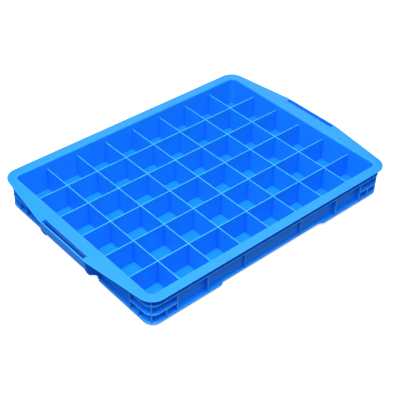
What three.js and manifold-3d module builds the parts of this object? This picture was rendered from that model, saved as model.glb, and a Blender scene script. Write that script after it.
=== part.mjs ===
// Compartment tray: one moulded shell with a wide gripping rim, and a lattice of divider
// strips that interlock by half-lap slots and stand loose on the tray's floor.
// Millimetres, +Z up. The origin is the middle of the footprint, on the surface the tray
// stands on. +X runs along the tray's length, so the two grips are at -X and +X.
import * as THREE from 'three';
import { mergeVertices } from 'three/addons/utils/BufferGeometryUtils.js';
import Module from 'manifold-3d';

const wasm = await Module();
wasm.setup();

// Driving dimensions
const COLUMNS = 8;
const ROWS = 6;
const PITCH_X = 71;
const PITCH_Y = 69;
const HEIGHT = 75;
const WALL = 2.5;
const CORNER_RADIUS = 10;
const ARC_STEPS = 6;

// Heights above the surface that the tray stands on
const FLOOR_UNDER = 7;
const FLOOR_TOP = FLOOR_UNDER + WALL;
const LEDGE_UNDER = 10.5;
const LEDGE_TOP = 14.5;
const MID_SHELF_TOP = 35;
const TOP_SHELF_TOP = 55.8;
const DIVIDER_TOP = 60;
const FLANGE = 3;
const FLANGE_UNDER = HEIGHT - FLANGE;

// Half sizes in plan
const INNER_X = (COLUMNS * PITCH_X) / 2;
const INNER_Y = (ROWS * PITCH_Y) / 2;
const OUTER_X = INNER_X + WALL;
const OUTER_Y = INNER_Y + WALL;
const LEDGE_REACH = 8;
const NARROW_REACH = 5;
const LEDGE_X = OUTER_X + LEDGE_REACH;
const LEDGE_Y = OUTER_Y + LEDGE_REACH + 2;
const LEDGE_RADIUS = 20;
const SHELF_PROUD = 1;
const NARROW_HALF = 125;
const NARROW_RAMP = 8;
const LEDGE_END_RADIUS = 6;
const PLINTH_PLAY = 1.5;
const PLINTH_X = INNER_X - PLINTH_PLAY;
const PLINTH_Y = INNER_Y - PLINTH_PLAY;
const PLINTH_RIB_FOOT = 2;

// Rim flange: straight long sides, and ends that widen towards the grips
const FLANGE_Y = INNER_Y + 21;
const FLANGE_RADIUS = 30;
const GRIP_X = INNER_X + 38;
const GRIP_HALF = 70;
const FLARE = 19 / 132;
const BITE = 1;

// Grips
const SKIRT = 2.5;
const SKIRT_DEPTH = 19.5;
const SKIRT_FOOT = HEIGHT - SKIRT_DEPTH;
const CHEEK = 2.6;
const CHEEK_KNEE_X = GRIP_X - 12;
const CHEEK_KNEE_Z = 33.8;
const CHEEK_FOOT_X = LEDGE_X - 1.5;
const SLOT_WIDTH = 9;
const SLOT_HALF = 64;
const COLLAR = 2.5;
const COLLAR_DEPTH = 9;
const SLOT_RIB_Y = 21.5;
const SLOT_RIB_PROUD = 1.2;

// Stiffening ribs on the walls, by their distance from the middle of the side
const RIB = 2.6;
const SIDE_RIBS = [165, 235];
const SHALLOW_SIDE_RIB = 71.5;
const SHORT_SIDE_RIB = 259;
const END_RIB = 161;
const SHORT_END_RIB = 184;

// Divider strips
const STRIP = 1.8;
const GAP = 0.3;
const END_PLAY = 0.5;
const STRIP_FOOT = FLOOR_TOP + GAP;
const LAP = (STRIP_FOOT + DIVIDER_TOP) / 2;
const FOOT_CHAMFER = 2.5;

const shellPlastic = new THREE.MeshStandardMaterial({
  color: 0x1f86f0, roughness: 0.42, metalness: 0,
});
const stripPlastic = new THREE.MeshStandardMaterial({
  color: 0x1a74ee, roughness: 0.45, metalness: 0,
});

// Solids

function toSolid(geometry) {
  const bare = geometry.clone();
  bare.deleteAttribute('normal');
  bare.deleteAttribute('uv');
  const merged = mergeVertices(bare, 1e-4);
  return new wasm.Manifold(new wasm.Mesh({
    numProp: 3,
    vertProperties: Float32Array.from(merged.attributes.position.array),
    triVerts: Uint32Array.from(merged.index.array),
  }));
}

function toGeometry(solid) {
  const mesh = solid.getMesh();
  const geometry = new THREE.BufferGeometry();
  const positions = new THREE.BufferAttribute(Float32Array.from(mesh.vertProperties), 3);
  geometry.setAttribute('position', positions);
  geometry.setIndex(Array.from(mesh.triVerts));
  return geometry;
}

function union(solids) {
  return solids.reduce((whole, solid) => whole.add(solid));
}

// A flat shape in plan, from height low to height high
function slab(shape, low, high) {
  const options = { depth: high - low, bevelEnabled: false, curveSegments: ARC_STEPS };
  const geometry = new THREE.ExtrudeGeometry(shape, options);
  return toSolid(geometry.translate(0, 0, low));
}

function box(lowX, highX, lowY, highY, lowZ, highZ) {
  const geometry = new THREE.BoxGeometry(highX - lowX, highY - lowY, highZ - lowZ);
  geometry.translate((lowX + highX) / 2, (lowY + highY) / 2, (lowZ + highZ) / 2);
  return toSolid(geometry);
}

// Outlines in plan

function roundedRectangle(path, halfX, halfY, radius) {
  const x = halfX - radius;
  const y = halfY - radius;
  path.moveTo(halfX, -y);
  path.absarc(x, y, radius, 0, Math.PI / 2);
  path.absarc(-x, y, radius, Math.PI / 2, Math.PI);
  path.absarc(-x, -y, radius, Math.PI, 1.5 * Math.PI);
  path.absarc(x, -y, radius, 1.5 * Math.PI, 2 * Math.PI);
  path.closePath();
  return path;
}

function ring(halfX, halfY, radius, holeX, holeY, holeRadius) {
  const shape = roundedRectangle(new THREE.Shape(), halfX, halfY, radius);
  shape.holes.push(roundedRectangle(new THREE.Path(), holeX, holeY, holeRadius));
  return shape;
}

// A ring that stands out from the wall and bites a little into it
function wallRing(halfX, halfY, radius) {
  return ring(halfX, halfY, radius, OUTER_X - BITE, OUTER_Y - BITE, CORNER_RADIUS + WALL - BITE);
}

// The flange's corner arc touches the long side and the flared end edge
function flangeOutline() {
  const tilt = Math.atan(FLARE);
  const y = FLANGE_Y - FLANGE_RADIUS;
  const reach = FLANGE_RADIUS / Math.cos(tilt);
  const x = GRIP_X - (y - GRIP_HALF) * FLARE - reach;
  const shape = new THREE.Shape();
  shape.moveTo(GRIP_X, -GRIP_HALF);
  shape.lineTo(GRIP_X, GRIP_HALF);
  shape.absarc(x, y, FLANGE_RADIUS, tilt, Math.PI / 2);
  shape.absarc(-x, y, FLANGE_RADIUS, Math.PI / 2, Math.PI - tilt);
  shape.lineTo(-GRIP_X, GRIP_HALF);
  shape.lineTo(-GRIP_X, -GRIP_HALF);
  shape.absarc(-x, -y, FLANGE_RADIUS, Math.PI + tilt, 1.5 * Math.PI);
  shape.absarc(x, -y, FLANGE_RADIUS, 1.5 * Math.PI, 2 * Math.PI - tilt);
  shape.closePath();
  return shape;
}

// Shell

function walls() {
  const radius = CORNER_RADIUS + WALL;
  const wallShape = ring(OUTER_X, OUTER_Y, radius, INNER_X, INNER_Y, CORNER_RADIUS);
  const floorShape = roundedRectangle(new THREE.Shape(), OUTER_X, OUTER_Y, radius);
  const flangeShape = flangeOutline();
  flangeShape.holes.push(roundedRectangle(new THREE.Path(), INNER_X, INNER_Y, CORNER_RADIUS));
  return [
    slab(wallShape, FLOOR_UNDER, FLANGE_UNDER + BITE),
    slab(floorShape, FLOOR_UNDER, FLOOR_TOP),
    slab(flangeShape, FLANGE_UNDER, HEIGHT),
  ];
}

// What the ledge leaves out between the cheeks of a grip, with round corners on its two ends
function gripGap() {
  const endY = GRIP_HALF - CHEEK;
  const nearX = OUTER_X - 2 * BITE;
  const farX = LEDGE_X + BITE;
  const arcX = LEDGE_X - LEDGE_END_RADIUS;
  const arcY = endY + LEDGE_END_RADIUS;
  const gap = new THREE.Shape();
  gap.moveTo(nearX, -endY);
  gap.absarc(arcX, -arcY, LEDGE_END_RADIUS, Math.PI / 2, 0, true);
  gap.lineTo(farX, -arcY);
  gap.lineTo(farX, arcY);
  gap.absarc(arcX, arcY, LEDGE_END_RADIUS, 0, -Math.PI / 2, true);
  gap.lineTo(nearX, endY);
  gap.closePath();
  return gap;
}

// The ledge is narrower along the middle of each long side, and stops at the grips
function ledge() {
  const full = slab(wallRing(LEDGE_X, LEDGE_Y, LEDGE_RADIUS), LEDGE_UNDER, LEDGE_TOP);
  const recess = new THREE.Shape();
  const narrowY = OUTER_Y + NARROW_REACH;
  const farY = LEDGE_Y + BITE;
  const slope = NARROW_RAMP / (LEDGE_Y - narrowY);
  const farX = NARROW_HALF + (farY - narrowY) * slope;
  recess.moveTo(-NARROW_HALF, narrowY);
  recess.lineTo(NARROW_HALF, narrowY);
  recess.lineTo(farX, farY);
  recess.lineTo(-farX, farY);
  recess.closePath();
  const low = LEDGE_UNDER - BITE;
  const high = LEDGE_TOP + BITE;
  const notch = slab(recess, low, high).add(slab(gripGap(), low, high));
  return full.subtract(notch).subtract(notch.rotate([0, 0, 180]));
}

// The plinth drops inside the rim of a tray below; ribs cross the floor's underside in it
function plinth() {
  const shape = ring(
    PLINTH_X, PLINTH_Y, CORNER_RADIUS - PLINTH_PLAY,
    PLINTH_X - WALL, PLINTH_Y - WALL, CORNER_RADIUS - PLINTH_PLAY - WALL,
  );
  const top = FLOOR_UNDER + BITE;
  const half = RIB / 2;
  const crossRibs = [-2, 0, 2].map((step) => {
    const x = step * PITCH_X;
    return box(x - half, x + half, -PLINTH_Y + BITE, PLINTH_Y - BITE, PLINTH_RIB_FOOT, top);
  });
  const longRibs = [-1, 1].map((step) => {
    const y = step * PITCH_Y;
    return box(-PLINTH_X + BITE, PLINTH_X - BITE, y - half, y + half, PLINTH_RIB_FOOT, top);
  });
  return union([slab(shape, 0, top), ...crossRibs, ...longRibs]);
}

// The top shelf runs round the corners and along the long sides, the lower one round the
// corners only
function shelves() {
  const endCut = END_RIB - RIB / 2;
  const sideCut = SIDE_RIBS[1] - RIB / 2;
  const farX = LEDGE_X + 2 * SHELF_PROUD;
  const farY = LEDGE_Y + 2 * SHELF_PROUD;
  const across = box(-farX, farX, -endCut, endCut, 0, HEIGHT);
  const along = box(-sideCut, sideCut, -farY, farY, 0, HEIGHT);
  const topRing = wallRing(LEDGE_X + SHELF_PROUD, LEDGE_Y + SHELF_PROUD, LEDGE_RADIUS + SHELF_PROUD);
  const lowRing = wallRing(LEDGE_X, LEDGE_Y, LEDGE_RADIUS);
  return [
    slab(topRing, TOP_SHELF_TOP - WALL, TOP_SHELF_TOP).subtract(across),
    slab(lowRing, MID_SHELF_TOP - WALL, MID_SHELF_TOP).subtract(across).subtract(along),
  ];
}

// Ribs on one quarter of the tray, mirrored to the other three
function ribs() {
  const foot = LEDGE_TOP - BITE;
  const underTop = TOP_SHELF_TOP - BITE;
  const underMid = MID_SHELF_TOP - BITE;
  const half = RIB / 2;
  const side = (x, reach, top) => {
    return box(x - half, x + half, OUTER_Y - BITE, OUTER_Y + reach, foot, top);
  };
  const end = (y, top) => {
    return box(OUTER_X - BITE, LEDGE_X, y - half, y + half, foot, top);
  };
  const deep = LEDGE_Y - OUTER_Y;
  const cornerX = LEDGE_X - LEDGE_RADIUS;
  const cornerY = LEDGE_Y - LEDGE_RADIUS;
  const corner = box(CORNER_RADIUS, LEDGE_RADIUS, -half, half, foot, FLANGE_UNDER + BITE)
    .rotate([0, 0, 45])
    .translate([cornerX, cornerY, 0]);
  const quarter = union([
    ...SIDE_RIBS.map((x) => side(x, deep, underTop)),
    side(SHALLOW_SIDE_RIB, NARROW_REACH, underTop),
    side(SHORT_SIDE_RIB, deep, underMid),
    end(END_RIB, underTop),
    end(SHORT_END_RIB, underMid),
    corner,
  ]);
  const pair = quarter.add(quarter.mirror([1, 0, 0]));
  return pair.add(pair.mirror([0, 1, 0]));
}

// The cheek closes the grip's side: its lower edge swings in from the skirt to a knee, runs
// back at a gentle slope and drops to the ledge
function cheek() {
  const profile = new THREE.Shape();
  profile.moveTo(OUTER_X - BITE, FLANGE_UNDER + BITE);
  profile.lineTo(GRIP_X - BITE, FLANGE_UNDER + BITE);
  profile.lineTo(GRIP_X - BITE, SKIRT_FOOT);
  profile.bezierCurveTo(
    GRIP_X - 3.5, SKIRT_FOOT - 7.5,
    CHEEK_KNEE_X + 5, CHEEK_KNEE_Z + 2.2,
    CHEEK_KNEE_X, CHEEK_KNEE_Z,
  );
  profile.bezierCurveTo(
    CHEEK_KNEE_X - 6, CHEEK_KNEE_Z - 3.3,
    CHEEK_FOOT_X + 1.5, LEDGE_TOP + 12.5,
    CHEEK_FOOT_X, LEDGE_TOP,
  );
  profile.lineTo(CHEEK_FOOT_X, LEDGE_TOP - BITE);
  profile.lineTo(OUTER_X - BITE, LEDGE_TOP - BITE);
  profile.closePath();
  const options = { depth: CHEEK, bevelEnabled: false, curveSegments: ARC_STEPS };
  const geometry = new THREE.ExtrudeGeometry(profile, options);
  geometry.rotateX(Math.PI / 2);
  geometry.translate(0, GRIP_HALF, 0);
  return toSolid(geometry);
}

function grip() {
  const half = RIB / 2;
  const inside = GRIP_X - SKIRT;
  const slotInner = inside - SLOT_WIDTH;
  const top = HEIGHT - BITE;
  const skirt = box(inside, GRIP_X, -GRIP_HALF, GRIP_HALF, SKIRT_FOOT, top);
  const collarHalf = SLOT_HALF + COLLAR;
  const collar = box(
    slotInner - COLLAR, inside + BITE, -collarHalf, collarHalf, HEIGHT - COLLAR_DEPTH, top,
  );
  const slot = box(slotInner, inside, -SLOT_HALF, SLOT_HALF, 0, HEIGHT + BITE);
  const slotRibs = [-SLOT_RIB_Y, SLOT_RIB_Y].map((y) => {
    return box(inside - SLOT_RIB_PROUD, inside + BITE, y - half, y + half, SKIRT_FOOT + BITE, top);
  });
  const side = cheek();
  return { solid: union([skirt, collar, side, side.mirror([0, 1, 0])]), slot, slotRibs };
}

function trayShell() {
  const end = grip();
  const body = union([...walls(), ledge(), plinth(), ...shelves(), ribs()]);
  const withGrips = body.add(end.solid).add(end.solid.mirror([1, 0, 0]));
  const slotted = withGrips.subtract(end.slot).subtract(end.slot.mirror([1, 0, 0]));
  const slotRibs = union(end.slotRibs);
  return slotted.add(slotRibs).add(slotRibs.mirror([1, 0, 0]));
}

// Dividers

// A strip seen from its side: slots open upwards or downwards, and the foot's corners are cut
// back to clear the fillet between wall and floor
function stripShape(halfLength, slotPlaces, slotsOpenUp) {
  const shape = new THREE.Shape();
  const half = STRIP / 2 + GAP;
  const slotEnd = slotsOpenUp ? LAP - GAP / 2 : LAP + GAP / 2;
  shape.moveTo(-halfLength + FOOT_CHAMFER, STRIP_FOOT);
  if (!slotsOpenUp) {
    slotPlaces.forEach((place) => {
      shape.lineTo(place - half, STRIP_FOOT);
      shape.lineTo(place - half, slotEnd);
      shape.lineTo(place + half, slotEnd);
      shape.lineTo(place + half, STRIP_FOOT);
    });
  }
  shape.lineTo(halfLength - FOOT_CHAMFER, STRIP_FOOT);
  shape.lineTo(halfLength, STRIP_FOOT + FOOT_CHAMFER);
  shape.lineTo(halfLength, DIVIDER_TOP);
  if (slotsOpenUp) {
    [...slotPlaces].reverse().forEach((place) => {
      shape.lineTo(place + half, DIVIDER_TOP);
      shape.lineTo(place + half, slotEnd);
      shape.lineTo(place - half, slotEnd);
      shape.lineTo(place - half, DIVIDER_TOP);
    });
  }
  shape.lineTo(-halfLength, DIVIDER_TOP);
  shape.lineTo(-halfLength, STRIP_FOOT + FOOT_CHAMFER);
  shape.closePath();
  return shape;
}

// Places of the lines between count cells, from the middle of the tray
function linesBetween(count, pitch) {
  return Array.from({ length: count - 1 }, (_, index) => (index + 1 - count / 2) * pitch);
}

function stripGeometry(shape) {
  const options = { depth: STRIP, bevelEnabled: false };
  const geometry = new THREE.ExtrudeGeometry(shape, options);
  return geometry.translate(0, 0, -STRIP / 2).rotateX(Math.PI / 2);
}

// The tray

function addNode(group, name, geometry, material) {
  const mesh = new THREE.Mesh(geometry, material);
  mesh.name = name;
  group.add(mesh);
  return mesh;
}

const tray = new THREE.Group();
const columnLines = linesBetween(COLUMNS, PITCH_X);
const rowLines = linesBetween(ROWS, PITCH_Y);

addNode(tray, 'tray_shell', toGeometry(trayShell()), shellPlastic);

const longShape = stripShape(INNER_X - END_PLAY, columnLines, true);
rowLines.forEach((y, index) => {
  const name = `long_divider_${index + 1}`;
  addNode(tray, name, stripGeometry(longShape), stripPlastic).position.y = y;
});

const crossShape = stripShape(INNER_Y - END_PLAY, rowLines, false);
columnLines.forEach((x, index) => {
  const name = `cross_divider_${index + 1}`;
  const strip = addNode(tray, name, stripGeometry(crossShape), stripPlastic);
  strip.rotation.z = Math.PI / 2;
  strip.position.x = x;
});

export default tray;
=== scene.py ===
"""The looks of a compartment tray: a moulded shell with a wide rim and two grips, and a lattice
of divider strips that interlock by half-lap slots. Metres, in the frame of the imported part."""

import math

import bmesh
import bpy
from mathutils import Matrix, Vector


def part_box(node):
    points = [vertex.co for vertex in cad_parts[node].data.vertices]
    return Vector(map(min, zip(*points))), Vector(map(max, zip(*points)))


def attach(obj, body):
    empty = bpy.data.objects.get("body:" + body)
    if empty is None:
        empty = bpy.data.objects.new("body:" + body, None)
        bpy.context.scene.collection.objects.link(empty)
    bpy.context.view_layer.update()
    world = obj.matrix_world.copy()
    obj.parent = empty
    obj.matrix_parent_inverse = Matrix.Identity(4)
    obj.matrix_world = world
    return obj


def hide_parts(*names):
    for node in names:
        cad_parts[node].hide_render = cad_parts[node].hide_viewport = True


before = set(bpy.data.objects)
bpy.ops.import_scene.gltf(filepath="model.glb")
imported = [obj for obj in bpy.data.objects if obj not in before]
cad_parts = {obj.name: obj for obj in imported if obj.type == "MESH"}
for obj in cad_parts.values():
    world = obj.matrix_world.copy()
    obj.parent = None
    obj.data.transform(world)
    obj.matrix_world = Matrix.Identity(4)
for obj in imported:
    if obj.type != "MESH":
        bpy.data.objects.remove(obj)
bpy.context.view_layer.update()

MM = 0.001

# Sizes that come from the frame
shell_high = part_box("tray_shell")[1]
LONG_STRIPS = sorted(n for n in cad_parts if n.startswith("long_divider"))
CROSS_STRIPS = sorted(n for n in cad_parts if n.startswith("cross_divider"))
HEIGHT = shell_high.z
GRIP_X = shell_high.x
FLANGE_Y = shell_high.y
long_low, long_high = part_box(LONG_STRIPS[0])
cross_low, cross_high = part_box(CROSS_STRIPS[0])
DIVIDER_TOP = long_high.z
STRIP_FOOT = long_low.z
STRIP = long_high.y - long_low.y
END_PLAY = 0.5 * MM
INNER_X = long_high.x + END_PLAY
INNER_Y = cross_high.y + END_PLAY

# Walls and flange
WALL = 2.5 * MM
OUTER_X = INNER_X + WALL
OUTER_Y = INNER_Y + WALL
CORNER_RADIUS = 10 * MM
FLANGE = 3 * MM
FLANGE_UNDER = HEIGHT - FLANGE
FLANGE_RADIUS = 30 * MM
FLARE = 19 / 132
GRIP_HALF = 70 * MM
RIM_ROUND = 3.6 * MM
PANEL_RISE = 0.4 * MM
PANEL_HALF = 60 * MM

# Heights
FLOOR_UNDER = 7 * MM
FLOOR_TOP = FLOOR_UNDER + WALL
FLOOR_ROUND = 1.5 * MM
LEDGE_UNDER = 10.5 * MM
LEDGE_TOP = 14.5 * MM
MID_SHELF_TOP = 35 * MM
TOP_SHELF_TOP = 55.8 * MM

# Ledge, shelves and plinth
LEDGE_X = OUTER_X + 8 * MM
LEDGE_Y = OUTER_Y + 10 * MM
LEDGE_RADIUS = 20 * MM
LEDGE_END_RADIUS = 6 * MM
NARROW_Y = OUTER_Y + 5 * MM
NARROW_HALF = 125 * MM
NARROW_RAMP = 8 * MM
SHELF_PROUD = 1 * MM
PLINTH_PLAY = 1.5 * MM
PLINTH_X = INNER_X - PLINTH_PLAY
PLINTH_Y = INNER_Y - PLINTH_PLAY
PLINTH_RIB_FOOT = 2 * MM

# Grips
SKIRT = 2.5 * MM
SKIRT_FOOT = HEIGHT - 19.5 * MM
SKIRT_ROUND = 4.5 * MM
CHEEK = 2.6 * MM
GRIP_TOP = HEIGHT - 1.7 * MM
CHEEK_KNEE_X = GRIP_X - 12 * MM
CHEEK_KNEE_Z = 33.8 * MM
CHEEK_FOOT_X = LEDGE_X - 1.5 * MM
SLOT_WIDTH = 9 * MM
SLOT_HALF = 64 * MM
SLOT_ROUND = 0.5 * MM
COLLAR = 2.5 * MM
COLLAR_DEPTH = 9 * MM
SLOT_RIB_Y = 21.5 * MM
SLOT_RIB_PROUD = 1.2 * MM

# Ribs, by their distance from the middle of the side
RIB = 2.6 * MM
SIDE_RIBS = (165 * MM, 235 * MM)
SHALLOW_SIDE_RIB = 71.5 * MM
SHORT_SIDE_RIB = 259 * MM
END_RIB = 161 * MM
SHORT_END_RIB = 184 * MM

# How far the ribs stop short of the ledge's outer edge
RIB_SHY = 0.4 * MM

# Rounds on moulded edges
LEDGE_TOP_ROUND = 2.6 * MM
LEDGE_LOW_ROUND = 0.8 * MM
SHELF_ROUND = 0.9 * MM
BEVEL_STEPS = 3
SMOOTH_ANGLE = math.radians(32)

# The number on each face that says how much lighter it is painted, partly as rubbed wear and partly
# as a painted highlight, and the turn per metre at which it starts and is full
EDGE_WEAR_AND_HIGHLIGHT_MARK = "edge"
FLAT_CURVATURE = 250
EDGE_CURVATURE = 1500

# How far joined solids run into each other
BITE = 1 * MM

# Steps in a quarter turn, and in a cheek plate's curve
ARC = 6
CURVE_STEPS = 16

# Lengths and areas too small to tell from none
TINY_LENGTH = 1e-6
TINY_AREA = 1e-12

# Stage
WORLD_LIGHT = 0.42
WORLD_TINT = (0.62, 0.68, 1.0, 1.0)
FLOOR_RADIUS = 4.0
FLOOR_TURN = 1.5
FLOOR_WALL = 5.0
NEAR_GLOW = 0.72
GLOW_START = 0.5
GLOW_END = 1.8
SHADE_TOP = -1 * MM
SHADE_FOOT = -2 * MM

# Colours
# Painted shade in creases and corners: how far it reaches, and how much darker it makes the colour
CREVICE = 8 * MM
CREVICE_SHADE = (0.75, 0.78, 0.93)
CLOUD_SHADE = 0.93
SHELL_BLUE = (0.010, 0.275, 0.95)
# Lighter colour for edges: rubbed wear and a painted highlight
SHELL_RUBBED_AND_HIGHLIGHT = (0.07, 0.52, 1.0)
STRIP_BLUE = (0.008, 0.28, 0.89)
# Lighter colour for strip edges and tops: rubbed wear and a painted highlight
STRIP_RUBBED_AND_HIGHLIGHT = (0.12, 0.75, 1.0)


# Meshes

def new_object(name, mesh):
    made = bpy.data.objects.new(name, mesh)
    bpy.context.scene.collection.objects.link(made)
    return made


def solid_from(bm):
    """A closed bmesh as an object with its faces pointing out."""
    bmesh.ops.recalc_face_normals(bm, faces=bm.faces)
    mesh = bpy.data.meshes.new("solid")
    bm.to_mesh(mesh)
    bm.free()
    return new_object("solid", mesh)


def join(solids):
    """Solids that don't touch each other, as one object."""
    bm = bmesh.new()
    for one in solids:
        bm.from_mesh(one.data)
        bpy.data.objects.remove(one)
    return solid_from(bm)


def combine(base, tool, operation="UNION"):
    """Joins the tool to the base, or cuts it out of it, and uses the tool up."""
    modifier = base.modifiers.new("combine", "BOOLEAN")
    modifier.solver = "MANIFOLD"
    modifier.operation = operation
    modifier.object = tool
    depsgraph = bpy.context.evaluated_depsgraph_get()
    mesh = bpy.data.meshes.new_from_object(base.evaluated_get(depsgraph))
    base.modifiers.clear()
    base.data = mesh
    bpy.data.objects.remove(tool)
    return base


def mirrored(solid, x=1, y=1):
    """A copy of a solid, mirrored where x or y is -1."""
    bm = bmesh.new()
    bm.from_mesh(solid.data)
    bmesh.ops.scale(bm, vec=(x, y, 1), verts=bm.verts)
    return solid_from(bm)


def both_ends(solid):
    return join([mirrored(solid, x=-1), solid])


def four_corners(solid):
    copies = [mirrored(solid, x, y) for x, y in ((-1, 1), (1, -1), (-1, -1))]
    return join([solid] + copies)


def loft(rings, closed=False):
    """Quads between rings of matched points: capped at both ends, or closed like a tyre."""
    bm = bmesh.new()
    loops = [[bm.verts.new(point) for point in ring] for ring in rings]
    pairs = list(zip(loops, loops[1:]))
    if closed:
        pairs.append((loops[-1], loops[0]))
    for low, high in pairs:
        for index in range(len(low)):
            after = (index + 1) % len(low)
            bm.faces.new((low[index], low[after], high[after], high[index]))
    if not closed:
        bm.faces.new(loops[0])
        bm.faces.new(loops[-1])
    return solid_from(bm)


def prism(points, low, high):
    """A flat outline in plan, from height low to height high."""
    return loft([[(x, y, low) for x, y in points], [(x, y, high) for x, y in points]])


def round_over(bm, edges, radius):
    bmesh.ops.bevel(bm, geom=edges, offset=radius, segments=BEVEL_STEPS, affect="EDGES", profile=0.5)


def rounded_box(low_x, high_x, low_y, high_y, low_z, high_z, radius=0.0):
    bm = bmesh.new()
    size = Vector((high_x - low_x, high_y - low_y, high_z - low_z))
    middle = Vector((low_x + high_x, low_y + high_y, low_z + high_z)) / 2
    place = Matrix.Translation(middle) @ Matrix.Diagonal(size.to_4d())
    bmesh.ops.create_cube(bm, size=1, matrix=place)
    if radius:
        round_over(bm, bm.edges[:], radius)
    return solid_from(bm)


# Outlines in plan, as matched points: the same number on every outline

END_STATIONS = [PANEL_HALF, SLOT_HALF] + [GRIP_HALF + step * MM for step in (-4, -2, 0, 2, 4)]
SIDE_STATIONS = [NARROW_HALF + NARROW_RAMP, NARROW_HALF]
CORNER_STEPS = 10


def whole_outline(quarter):
    """The quarter in +X +Y, mirrored round to a closed outline."""
    left = [(-x, y) for x, y in reversed(quarter)]
    far = [(-x, -y) for x, y in quarter]
    right = [(x, -y) for x, y in reversed(quarter)]
    return quarter + left + far + right


def corner_arc(x, y, radius, start=0.0):
    angles = [start + (math.pi / 2 - start) * step / CORNER_STEPS for step in range(CORNER_STEPS + 1)]
    return [(x + radius * math.cos(a), y + radius * math.sin(a)) for a in angles]


def rectangle(half_x, half_y, radius, inset=0.0):
    """A rounded rectangle, moved inwards by inset."""
    arc = corner_arc(half_x - radius, half_y - radius, radius - inset)
    ends = [(half_x - inset, y) for y in END_STATIONS]
    sides = [(x, half_y - inset) for x in SIDE_STATIONS]
    return whole_outline(ends + arc + sides)


def ledge_outline(inset=0.0):
    """The ledge is narrower along the middle of the long sides."""
    arc = corner_arc(LEDGE_X - LEDGE_RADIUS, LEDGE_Y - LEDGE_RADIUS, LEDGE_RADIUS - inset)
    ends = [(LEDGE_X - inset, y) for y in END_STATIONS]
    wide, narrow = SIDE_STATIONS
    return whole_outline(ends + arc + [(wide, LEDGE_Y - inset), (narrow, NARROW_Y - inset)])


def flange_outline(inset=0.0):
    """Straight across each grip, then tapering to the round corners."""
    tilt = math.atan(FLARE)
    soft = 4 * MM
    centre_y = FLANGE_Y - FLANGE_RADIUS
    centre_x = GRIP_X - (centre_y - GRIP_HALF) * FLARE - FLANGE_RADIUS / math.cos(tilt)

    def end(y):
        past = y - GRIP_HALF
        drop = 0.0 if past < -soft else past
        if abs(past) < soft:
            drop = (past + soft) ** 2 / (4 * soft)
        return GRIP_X - inset - drop * FLARE

    arc = corner_arc(centre_x, centre_y, FLANGE_RADIUS - inset, tilt)
    sides = [(x, FLANGE_Y - inset) for x in SIDE_STATIONS]
    return whole_outline([(end(y), y) for y in END_STATIONS] + arc + sides)


def quarter_turn(steps=ARC):
    """(sine, cosine) from 0 to 90 degrees."""
    turns = [math.pi / 2 * step / steps for step in range(steps + 1)]
    return [(math.sin(turn), math.cos(turn)) for turn in turns]


def at_height(outline, z):
    return [(x, y, z) for x, y in outline]


# Shell

def raised_panel(outline, z):
    """The flange's top, which stands a little higher across each grip."""
    return [(x, y, z + PANEL_RISE * (abs(y) <= PANEL_HALF)) for x, y in outline]


def main_shell():
    """The walls, floor, flange and plinth, as one line that is followed from inside to underneath."""
    inner = lambda inset: rectangle(INNER_X, INNER_Y, CORNER_RADIUS, inset)
    outer = lambda inset: rectangle(OUTER_X, OUTER_Y, CORNER_RADIUS + WALL, inset)
    plinth = lambda inset: rectangle(PLINTH_X, PLINTH_Y, CORNER_RADIUS - PLINTH_PLAY, inset)
    top_round = 0.7 * MM
    small_round = 0.8 * MM
    arc = quarter_turn()
    rings = []
    for sine, cosine in arc:
        rings.append(at_height(inner(FLOOR_ROUND * (1 - sine)), FLOOR_TOP + FLOOR_ROUND * (1 - cosine)))
    for sine, cosine in arc:
        rings.append(at_height(inner(-RIM_ROUND * (1 - cosine)), HEIGHT - RIM_ROUND * (1 - sine)))
    rings.append(raised_panel(inner(-RIM_ROUND - 2 * MM), HEIGHT))
    for sine, cosine in arc:
        high = HEIGHT - top_round * (1 - cosine)
        rings.append(raised_panel(flange_outline(top_round * (1 - sine)), high))
    for sine, cosine in arc:
        low = FLANGE_UNDER + small_round * (1 - sine)
        rings.append(at_height(flange_outline(small_round * (1 - cosine)), low))
    for sine, cosine in arc:
        rings.append(at_height(outer(-BITE * (1 - sine)), FLANGE_UNDER - BITE * (1 - cosine)))
    for sine, cosine in arc:
        rings.append(at_height(outer(BITE * (1 - cosine)), FLOOR_UNDER + BITE * (1 - sine)))
    rings.append(at_height(plinth(0), FLOOR_UNDER))
    for sine, cosine in arc:
        rings.append(at_height(plinth(small_round * (1 - cosine)), small_round * (1 - sine)))
    for sine, cosine in arc:
        inset = WALL - small_round * (1 - sine)
        rings.append(at_height(plinth(inset), small_round * (1 - cosine)))
    rings.append(at_height(plinth(WALL), FLOOR_UNDER))
    return loft(rings)


def wall_ring(outline, low, high, top_round, low_round):
    """A ring that stands out from the wall, with round outer edges."""
    root = rectangle(OUTER_X - BITE, OUTER_Y - BITE, CORNER_RADIUS + WALL - BITE)
    rings = [at_height(root, high), at_height(root, low)]
    for sine, cosine in quarter_turn():
        rings.append(at_height(outline(low_round * (1 - sine)), low + low_round * (1 - cosine)))
    for sine, cosine in quarter_turn():
        rings.append(at_height(outline(top_round * (1 - cosine)), high - top_round * (1 - sine)))
    return loft(rings, closed=True)


def grip_gap():
    """What the ledge leaves out between the cheeks of a grip, with round corners on its ends."""
    end_y = GRIP_HALF - CHEEK
    near_x = OUTER_X - 2 * BITE
    far_x = LEDGE_X + BITE
    half = [(near_x, end_y)]
    for sine, cosine in quarter_turn():
        x = LEDGE_X - LEDGE_END_RADIUS * (1 - sine)
        half.append((x, end_y + LEDGE_END_RADIUS * (1 - cosine)))
    half.append((far_x, end_y + LEDGE_END_RADIUS))
    points = half + [(x, -y) for x, y in reversed(half)]
    return prism(points, LEDGE_UNDER - BITE, LEDGE_TOP + BITE)


def ledge():
    ring = wall_ring(ledge_outline, LEDGE_UNDER, LEDGE_TOP, LEDGE_TOP_ROUND, LEDGE_LOW_ROUND)
    return combine(ring, both_ends(grip_gap()), "DIFFERENCE")


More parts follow.
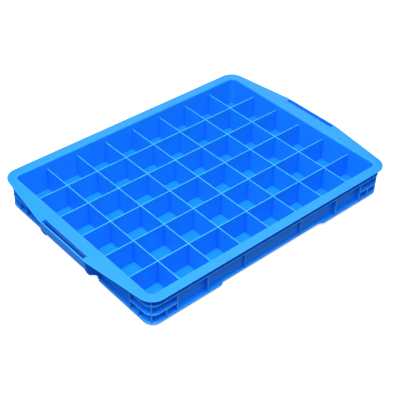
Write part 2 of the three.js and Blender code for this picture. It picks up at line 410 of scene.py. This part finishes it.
def shelves():
    """The top shelf runs round the corners and along the long sides, the lower one only round
    the corners."""
    end_cut = END_RIB - RIB / 2
    side_cut = SIDE_RIBS[1] - RIB / 2
    far_x = LEDGE_X + 2 * SHELF_PROUD
    far_y = LEDGE_Y + 2 * SHELF_PROUD

    def shelf(proud, top):
        outline = lambda inset: rectangle(
            LEDGE_X + proud, LEDGE_Y + proud, LEDGE_RADIUS + proud, inset)
        ring = wall_ring(outline, top - WALL, top, SHELF_ROUND, SHELF_ROUND)
        return combine(ring, rounded_box(-far_x, far_x, -end_cut, end_cut, 0, HEIGHT), "DIFFERENCE")

    top_shelf = shelf(SHELF_PROUD, TOP_SHELF_TOP)
    low_shelf = shelf(0, MID_SHELF_TOP)
    along = rounded_box(-side_cut, side_cut, -far_y, far_y, 0, HEIGHT)
    return top_shelf, combine(low_shelf, along, "DIFFERENCE")


def ribs():
    """The upright ribs on the outside of the walls, between the ledge and the shelves."""
    foot = LEDGE_TOP - BITE
    under_top = TOP_SHELF_TOP - BITE
    under_mid = MID_SHELF_TOP - BITE
    half = RIB / 2
    edge = 0.7 * MM
    deep = LEDGE_Y - OUTER_Y - RIB_SHY
    corner_x = LEDGE_X - LEDGE_RADIUS
    corner_y = LEDGE_Y - LEDGE_RADIUS

    def side(x, reach, top):
        return rounded_box(x - half, x + half, OUTER_Y - BITE, OUTER_Y + reach, foot, top, edge)

    def end(y, top):
        return rounded_box(OUTER_X - BITE, LEDGE_X, y - half, y + half, foot, top, edge)

    corner = rounded_box(CORNER_RADIUS, LEDGE_RADIUS, -half, half, foot, FLANGE_UNDER + BITE, edge)
    corner.data.transform(Matrix.Rotation(math.pi / 4, 4, "Z"))
    corner.data.transform(Matrix.Translation((corner_x, corner_y, 0)))
    quarter = [side(x, deep, under_top) for x in SIDE_RIBS]
    quarter.append(side(SHALLOW_SIDE_RIB, NARROW_Y - OUTER_Y, under_top))
    quarter.append(side(SHORT_SIDE_RIB, deep, under_mid))
    quarter.append(end(END_RIB, under_top))
    quarter.append(end(SHORT_END_RIB, under_mid))
    quarter.append(corner)
    return four_corners(join(quarter))


def under_ribs():
    """The ribs under the floor, inside the plinth, as two sets that cross."""
    top = FLOOR_UNDER + BITE
    half = RIB / 2
    edge = 0.5 * MM
    reach_x = PLINTH_X - BITE
    reach_y = PLINTH_Y - BITE
    pitch_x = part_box(CROSS_STRIPS[1])[0].x - cross_low.x
    pitch_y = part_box(LONG_STRIPS[1])[0].y - long_low.y
    across = [rounded_box(x - half, x + half, -reach_y, reach_y, PLINTH_RIB_FOOT, top, edge)
              for x in (-2 * pitch_x, 0, 2 * pitch_x)]
    along = [rounded_box(-reach_x, reach_x, y - half, y + half, PLINTH_RIB_FOOT, top, edge)
             for y in (-pitch_y, pitch_y)]
    return join(across), join(along)


def bezier(start, first, second, end):
    """A curve's points after its start."""
    points = []
    for step in range(1, CURVE_STEPS + 1):
        t = step / CURVE_STEPS
        weights = ((1 - t) ** 3, 3 * t * (1 - t) ** 2, 3 * t * t * (1 - t), t ** 3)
        corners = (start, first, second, end)
        points.append(tuple(sum(w * c[axis] for w, c in zip(weights, corners)) for axis in (0, 1)))
    return points


def cheek_plate():
    """The side of a grip, seen along Y: its lower edge swings in from the skirt to a knee, runs
    back at a gentle slope and drops to the ledge."""
    root_x = OUTER_X - BITE
    front_x = GRIP_X - BITE
    knee = (CHEEK_KNEE_X, CHEEK_KNEE_Z)
    profile = [(root_x, GRIP_TOP), (front_x, GRIP_TOP), (front_x, SKIRT_FOOT)]
    profile += bezier(
        (front_x, SKIRT_FOOT), (GRIP_X - 3.5 * MM, SKIRT_FOOT - 7.5 * MM),
        (knee[0] + 5 * MM, knee[1] + 2.2 * MM), knee)
    profile += bezier(
        knee, (knee[0] - 6 * MM, knee[1] - 3.3 * MM),
        (CHEEK_FOOT_X + 1.5 * MM, LEDGE_TOP + 12.5 * MM), (CHEEK_FOOT_X, LEDGE_TOP))
    profile += [(CHEEK_FOOT_X, LEDGE_TOP - BITE), (root_x, LEDGE_TOP - BITE)]
    near, far = GRIP_HALF - CHEEK, GRIP_HALF
    bm = bmesh.new()
    front = [bm.verts.new((x, near, z)) for x, z in profile]
    back = [bm.verts.new((x, far, z)) for x, z in profile]
    count = len(profile)
    bm.faces.new(front)
    bm.faces.new(reversed(back))
    for index in range(count):
        after = (index + 1) % count
        bm.faces.new((front[index], back[index], back[after], front[after]))
    rim = [e for e in bm.edges if abs(e.verts[0].co.y - e.verts[1].co.y) < TINY_LENGTH]
    round_over(bm, rim, 0.7 * MM)
    return solid_from(bm)


def grip_plan(half_y, far_x, radius):
    """Three sides of a grip in plan, with round outer corners."""
    root_x = OUTER_X - BITE
    arc = [(far_x - radius * (1 - cosine), half_y - radius * (1 - sine))
           for sine, cosine in quarter_turn()]
    half = arc + [(root_x, half_y)]
    return [(x, -y) for x, y in reversed(half)] + half


def slot_cutter():
    """The grip's slot, with its mouth's edge rounded over."""
    inside = GRIP_X - SKIRT
    top = HEIGHT + PANEL_RISE
    middle = inside - SLOT_WIDTH / 2

    def ring(grow, z):
        half_x = SLOT_WIDTH / 2 + grow
        half_y = SLOT_HALF + grow
        radius = SLOT_ROUND + grow
        quarter = corner_arc(half_x - radius, half_y - radius, radius)
        return [(middle + x, y, z) for x, y in whole_outline(quarter)]

    rings = [ring(0, 0)]
    for sine, cosine in quarter_turn():
        rings.append(ring(SLOT_ROUND * (1 - cosine), top - SLOT_ROUND * (1 - sine)))
    rings.append(ring(SLOT_ROUND, top + 2 * MM))
    return loft(rings)


def grip():
    """(solids to add, slot to cut, ribs to add in the slot) of the grip at +X."""
    inside = GRIP_X - SKIRT
    hood = prism(grip_plan(GRIP_HALF, GRIP_X, SKIRT_ROUND), SKIRT_FOOT, GRIP_TOP)
    hollow = rounded_box(0, inside, -GRIP_HALF + CHEEK, GRIP_HALF - CHEEK, 0, HEIGHT + BITE, 2 * MM)
    bm = bmesh.new()
    bm.from_mesh(hood.data)
    rim = [e for e in bm.edges if all(abs(v.co.z - SKIRT_FOOT) < TINY_LENGTH for v in e.verts)]
    round_over(bm, rim, 0.8 * MM)
    bpy.data.objects.remove(hood)
    hood = combine(solid_from(bm), hollow, "DIFFERENCE")
    plate = cheek_plate()
    plates = join([mirrored(plate, y=-1), plate])
    envelope = prism(grip_plan(GRIP_HALF, GRIP_X, SKIRT_ROUND), 0, HEIGHT)
    plates = combine(plates, envelope, "INTERSECT")
    collar_half = SLOT_HALF + COLLAR
    collar = rounded_box(
        inside - SLOT_WIDTH - COLLAR, inside + BITE, -collar_half, collar_half,
        HEIGHT - COLLAR_DEPTH, HEIGHT - BITE, 0.6 * MM)
    half = RIB / 2
    slot_ribs = join([
        rounded_box(inside - SLOT_RIB_PROUD, inside + BITE, y - half, y + half,
                    SKIRT_FOOT + BITE, HEIGHT - BITE, 0.5 * MM)
        for y in (-SLOT_RIB_Y, SLOT_RIB_Y)])
    return [hood, plates, collar], slot_cutter(), slot_ribs


def mark_edge_wear_and_highlight(piece):
    """A number on each face, from 0 on flats to 1 on tightly rounded outer edges, for edges painted
    lighter as rubbed wear and a painted highlight.
    """
    bm = bmesh.new()
    bm.from_mesh(piece.data)
    mark = bm.faces.layers.float.new(EDGE_WEAR_AND_HIGHLIGHT_MARK)
    for face in bm.faces:
        turned = sum(edge.calc_length() * max(0.0, edge.calc_face_angle_signed(0.0))
                     for edge in face.edges)
        curvature = turned / max(face.calc_area(), TINY_AREA)
        share = (curvature - FLAT_CURVATURE) / (EDGE_CURVATURE - FLAT_CURVATURE)
        face[mark] = min(1.0, max(0.0, share))
    bm.to_mesh(piece.data)
    bm.free()


def finish_surface(piece, material):
    """Smooth over round edges, flat on flats."""
    mark_edge_wear_and_highlight(piece)
    piece.data.shade_smooth()
    piece.data.set_sharp_from_angle(angle=SMOOTH_ANGLE)
    weighted = piece.modifiers.new("weighted normals", "WEIGHTED_NORMAL")
    weighted.keep_sharp = True
    weighted.weight = 80
    piece.data.materials.clear()
    piece.data.materials.append(material)
    return piece


def tray_shell():
    shell = main_shell()
    top_shelf, low_shelf = shelves()
    across, along = under_ribs()
    parts, slot, slot_ribs = grip()
    for part in [ledge(), top_shelf, low_shelf, ribs(), across, along]:
        combine(shell, part)
    for part in parts:
        combine(shell, both_ends(part))
    combine(shell, both_ends(slot), "DIFFERENCE")
    combine(shell, both_ends(slot_ribs))
    shell.name = "shell"
    return shell


# Strips

def strip(name, half_length, places, slots_open_up):
    """A strip along X: rounded top edges, foot corners cut back, half-lap slots at the places."""
    half = STRIP / 2
    crown_round = 0.45 * MM
    foot_round = 0.3 * MM
    chamfer = 2.5 * MM
    end_round = 0.4 * MM

    def section(x, shrink):
        """The strip cut across at x, made smaller by shrink where its ends are rounded."""
        lift = max(0.0, chamfer - (half_length - abs(x)))
        foot = STRIP_FOOT + lift + shrink
        side = half - shrink
        crown = [(side - crown_round * (1 - cosine), DIVIDER_TOP - shrink - crown_round * (1 - sine))
                 for sine, cosine in quarter_turn(4)]
        crown = [(-y, z) for y, z in crown] + crown[::-1]
        lower = [(side, foot + foot_round), (side - foot_round, foot),
                 (foot_round - side, foot), (-side, foot + foot_round)]
        return [(x, y, z) for y, z in crown + lower]

    right = [(half_length - end_round * (1 - cosine), end_round * (1 - sine))
             for sine, cosine in quarter_turn(3)]
    right.append((half_length - chamfer, 0.0))
    left = [(-x, shrink) for x, shrink in right]
    body = loft([section(x, shrink) for x, shrink in left + right[::-1]])
    lap = (STRIP_FOOT + DIVIDER_TOP) / 2
    low, high = (lap, DIVIDER_TOP + BITE) if slots_open_up else (0, lap)
    play = 0.08 * MM
    gap = half + play
    cutters = [rounded_box(place - gap, place + gap, -2 * STRIP, 2 * STRIP, low, high)
               for place in places]
    combine(body, join(cutters), "DIFFERENCE")
    body.name = name
    return body


def middle_of(node):
    low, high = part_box(node)
    return (low + high) / 2


# Materials

def plastic(name, colour, rubbed_and_highlight, roughness):
    """Moulded plastic: a faint cloudiness, a fine grain, painted shade in creases and corners, and
    edges painted a little lighter, partly as rubbed wear and partly as a painted highlight.
    """
    material = bpy.data.materials.new(name)
    material.use_nodes = True
    nodes = material.node_tree.nodes
    links = material.node_tree.links
    shader = nodes["Principled BSDF"]
    place = nodes.new("ShaderNodeTexCoord").outputs["Object"]

    def noise(scale, detail):
        node = nodes.new("ShaderNodeTexNoise")
        node.inputs["Scale"].default_value = scale
        node.inputs["Detail"].default_value = detail
        links.new(place, node.inputs["Vector"])
        return node.outputs["Fac"]

    def spread(value, low, high, out_low, out_high):
        node = nodes.new("ShaderNodeMapRange")
        ends = (("From Min", low), ("From Max", high), ("To Min", out_low), ("To Max", out_high))
        for socket, number in ends:
            node.inputs[socket].default_value = number
        links.new(value, node.inputs["Value"])
        return node.outputs["Result"]

    def calculate(operation, first, second):
        node = nodes.new("ShaderNodeMath")
        node.operation = operation
        for socket, value in zip(node.inputs, (first, second)):
            if isinstance(value, float):
                socket.default_value = value
            else:
                links.new(value, socket)
        return node.outputs["Value"]

    def mix(factor, first, second):
        node = nodes.new("ShaderNodeMix")
        node.data_type = "RGBA"
        links.new(factor, node.inputs["Factor"])
        first_colour, second_colour = [socket for socket in node.inputs if socket.type == "RGBA"]
        for socket, value in ((first_colour, first), (second_colour, second)):
            if isinstance(value, tuple):
                socket.default_value = value + (1.0,)
            else:
                links.new(value, socket)
        return next(socket for socket in node.outputs if socket.type == "RGBA")

    cloud = noise(22.0, 3.0)
    darker = tuple(CLOUD_SHADE * channel for channel in colour)
    body = mix(spread(cloud, 0.35, 0.65, 0.0, 1.0), darker, colour)

    # Painted shade: the colour darkens in creases and corners, where less light reaches
    crevice = nodes.new("ShaderNodeAmbientOcclusion")
    crevice.samples = 8
    crevice.inputs["Distance"].default_value = CREVICE
    crevice_painted_shade = tuple(share * channel for share, channel in zip(CREVICE_SHADE, colour))
    body = mix(spread(crevice.outputs["AO"], 0.4, 0.9, 0.0, 1.0), crevice_painted_shade, body)

    # Edges painted lighter: partly rubbed wear, partly a painted highlight on round edges
    edge = nodes.new("ShaderNodeAttribute")
    edge.attribute_name = EDGE_WEAR_AND_HIGHLIGHT_MARK
    wear_and_highlight_patches = spread(noise(70.0, 3.0), 0.35, 0.65, 0.5, 0.9)
    body = mix(calculate("MULTIPLY", edge.outputs["Fac"], wear_and_highlight_patches), body, rubbed_and_highlight)
    links.new(body, shader.inputs["Base Color"])

    rough = spread(noise(35.0, 2.0), 0.3, 0.7, roughness - 0.03, roughness + 0.04)
    links.new(rough, shader.inputs["Roughness"])
    shader.inputs["IOR"].default_value = 1.49
    shader.inputs["Specular IOR Level"].default_value = 0.27

    bump = nodes.new("ShaderNodeBump")
    bump.inputs["Strength"].default_value = 0.12
    bump.inputs["Distance"].default_value = 0.00015
    links.new(noise(1400.0, 2.0), bump.inputs["Height"])
    links.new(bump.outputs["Normal"], shader.inputs["Normal"])
    return material


def floor_material():
    """White, and glowing more the further it is from the middle, so that it fades out evenly."""
    material = bpy.data.materials.new("pale_floor")
    material.use_nodes = True
    nodes = material.node_tree.nodes
    links = material.node_tree.links
    shader = nodes["Principled BSDF"]
    shader.inputs["Base Color"].default_value = (0.85, 0.85, 0.85, 1.0)
    shader.inputs["Roughness"].default_value = 0.9
    shader.inputs["Specular IOR Level"].default_value = 0.1
    shader.inputs["Emission Color"].default_value = (0.985, 1.0, 0.96, 1.0)
    reach = nodes.new("ShaderNodeVectorMath")
    reach.operation = "LENGTH"
    links.new(nodes.new("ShaderNodeTexCoord").outputs["Object"], reach.inputs[0])
    glow = nodes.new("ShaderNodeMapRange")
    ends = (("From Min", GLOW_START), ("From Max", GLOW_END), ("To Min", NEAR_GLOW), ("To Max", 1.0))
    for socket, number in ends:
        glow.inputs[socket].default_value = number
    links.new(reach.outputs["Value"], glow.inputs["Value"])
    links.new(glow.outputs["Result"], shader.inputs["Emission Strength"])
    material.cycles.emission_sampling = "NONE"
    return material


# Stage

def camera():
    """Looks down along the tray's long diagonal, a little off the middle and a little tilted."""
    heading = math.radians(42.205)
    down = math.radians(39.218)
    roll = math.radians(1.72)
    distance = 1.7299
    target = Vector((-0.0455, -0.0584, DIVIDER_TOP))
    level_reach = math.cos(down)
    ahead = Vector((math.sin(heading) * level_reach, math.cos(heading) * level_reach, -math.sin(down)))
    level = ahead.cross(Vector((0, 0, 1))).normalized()
    upright = level.cross(ahead)
    right = level * math.cos(roll) + upright * math.sin(roll)
    up = right.cross(ahead)
    data = bpy.data.cameras.new("camera")
    data.sensor_width = 36
    data.lens = 82.083
    made = new_object("camera", data)
    turn = Matrix((right, up, -ahead)).transposed().to_4x4()
    made.matrix_world = Matrix.Translation(target - distance * ahead) @ turn
    bpy.context.scene.camera = made


def softbox(name, place, size, watts, colour=(1.0, 1.0, 1.0)):
    """A square light that faces the tray's middle."""
    data = bpy.data.lights.new(name, "AREA")
    data.shape = "SQUARE"
    data.size = size
    data.energy = watts
    data.color = colour
    made = new_object(name, data)
    place = Vector(place)
    direction = Vector((0, 0, 0)) - place
    turn = direction.to_track_quat("-Z", "Y").to_matrix().to_4x4()
    made.matrix_world = Matrix.Translation(place) @ turn


def studio_floor():
    """A round floor that turns up into a wall. It takes shadows but throws no light back."""
    profile = [(FLOOR_RADIUS + FLOOR_TURN * sine, FLOOR_TURN * (1 - cosine))
               for sine, cosine in quarter_turn(12)]
    profile.append((FLOOR_RADIUS + FLOOR_TURN, FLOOR_WALL))
    around = 96
    angles = [2 * math.pi * step / around for step in range(around)]
    bm = bmesh.new()
    rings = [[bm.verts.new((radius * math.cos(a), radius * math.sin(a), z)) for a in angles]
             for radius, z in profile]
    bm.faces.new(rings[0])
    for low, high in zip(rings, rings[1:]):
        for index in range(around):
            after = (index + 1) % around
            bm.faces.new((low[index], low[after], high[after], high[index]))
    floor = solid_from(bm)
    floor.name = "floor"
    floor.data.shade_smooth()
    floor.data.materials.append(floor_material())
    floor.visible_diffuse = False
    floor.visible_glossy = False
    floor.visible_shadow = False
    return floor


def shade_under_tray():
    """Stops the light from straight below, as the floor in the tray's shade does."""
    corners = [(-GRIP_X, -FLANGE_Y), (GRIP_X, -FLANGE_Y), (GRIP_X, FLANGE_Y), (-GRIP_X, FLANGE_Y)]
    shade = prism(corners, SHADE_FOOT, SHADE_TOP)
    shade.name = "shade"
    material = bpy.data.materials.new("shade")
    material.use_nodes = True
    shader = material.node_tree.nodes["Principled BSDF"]
    shader.inputs["Base Color"].default_value = (0.02, 0.02, 0.02, 1.0)
    shader.inputs["Roughness"].default_value = 1.0
    shade.data.materials.append(material)
    shade.visible_camera = False
    return shade


def stage():
    """The floor, the light of the room, and five softboxes."""
    studio_floor()
    shade_under_tray()
    world = bpy.data.worlds.new("studio")
    world.use_nodes = True
    world.node_tree.nodes["Background"].inputs["Color"].default_value = WORLD_TINT
    world.node_tree.nodes["Background"].inputs["Strength"].default_value = WORLD_LIGHT
    scene = bpy.context.scene
    scene.world = world
    scene.view_settings.view_transform = "Standard"
    softbox("overhead", (0.0, 0.0, 1.7), 2.4, 9)
    softbox("front", (-0.4, -0.42, 2.1), 0.9, 13)
    softbox("left", (-1.3, -0.2, 1.9), 1.2, 21)
    softbox("right", (-0.55, -1.0, 1.9), 0.9, 22)
    softbox("behind", (1.3, 1.43, 1.58), 1.5, 10, (0.75, 0.95, 1.0))


# The scene

camera()
stage()
shell_plastic = plastic("shell_plastic", SHELL_BLUE, SHELL_RUBBED_AND_HIGHLIGHT, 0.30)
strip_plastic = plastic("strip_plastic", STRIP_BLUE, STRIP_RUBBED_AND_HIGHLIGHT, 0.36)

shell = finish_surface(tray_shell(), shell_plastic)
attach(shell, "tray")
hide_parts("tray_shell")

column_places = [middle_of(node).x for node in CROSS_STRIPS]
row_places = [middle_of(node).y for node in LONG_STRIPS]
for number, (node, y) in enumerate(zip(LONG_STRIPS, row_places), 1):
    piece = strip(f"long_strip_{number}", INNER_X - END_PLAY, column_places, True)
    piece.data.transform(Matrix.Translation((0, y, 0)))
    finish_surface(piece, strip_plastic)
    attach(piece, "lattice")
    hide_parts(node)
for number, (node, x) in enumerate(zip(CROSS_STRIPS, column_places), 1):
    piece = strip(f"cross_strip_{number}", INNER_Y - END_PLAY, row_places, False)
    piece.data.transform(Matrix.Translation((x, 0, 0)) @ Matrix.Rotation(math.pi / 2, 4, "Z"))
    finish_surface(piece, strip_plastic)
    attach(piece, f"cross_{number}")
    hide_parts(node)
